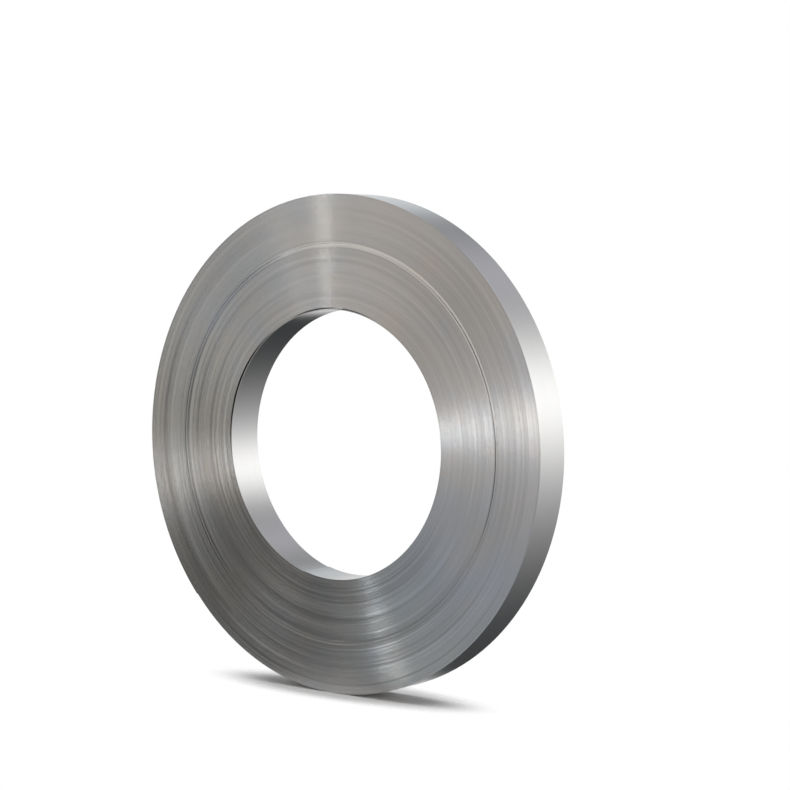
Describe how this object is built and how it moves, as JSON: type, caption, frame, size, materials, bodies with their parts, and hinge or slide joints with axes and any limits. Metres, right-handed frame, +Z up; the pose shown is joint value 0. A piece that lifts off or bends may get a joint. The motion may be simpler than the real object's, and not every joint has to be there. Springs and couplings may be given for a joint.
{
  "type": "stainless steel strip coil",
  "caption": "Narrow stainless steel strip wound into a flat ring with a round bore, standing on its rim; the edges of its turns show on both ends.",
  "frame": {"origin": "on the floor under the middle of the coil, where the rim rests", "axes": "+Z up, Y along the coil's axis with the front end facing -Y, X across the coil"},
  "size_m": [0.9399, 0.077, 0.94],
  "materials": {
    "stainless_strip": "satin slit edges on the ends, smooth cold-rolled surface on the rim and in the bore"
  },
  "bodies": {
    "root": {"strip_coil": "stainless_strip"}
  },
  "joints": []
}
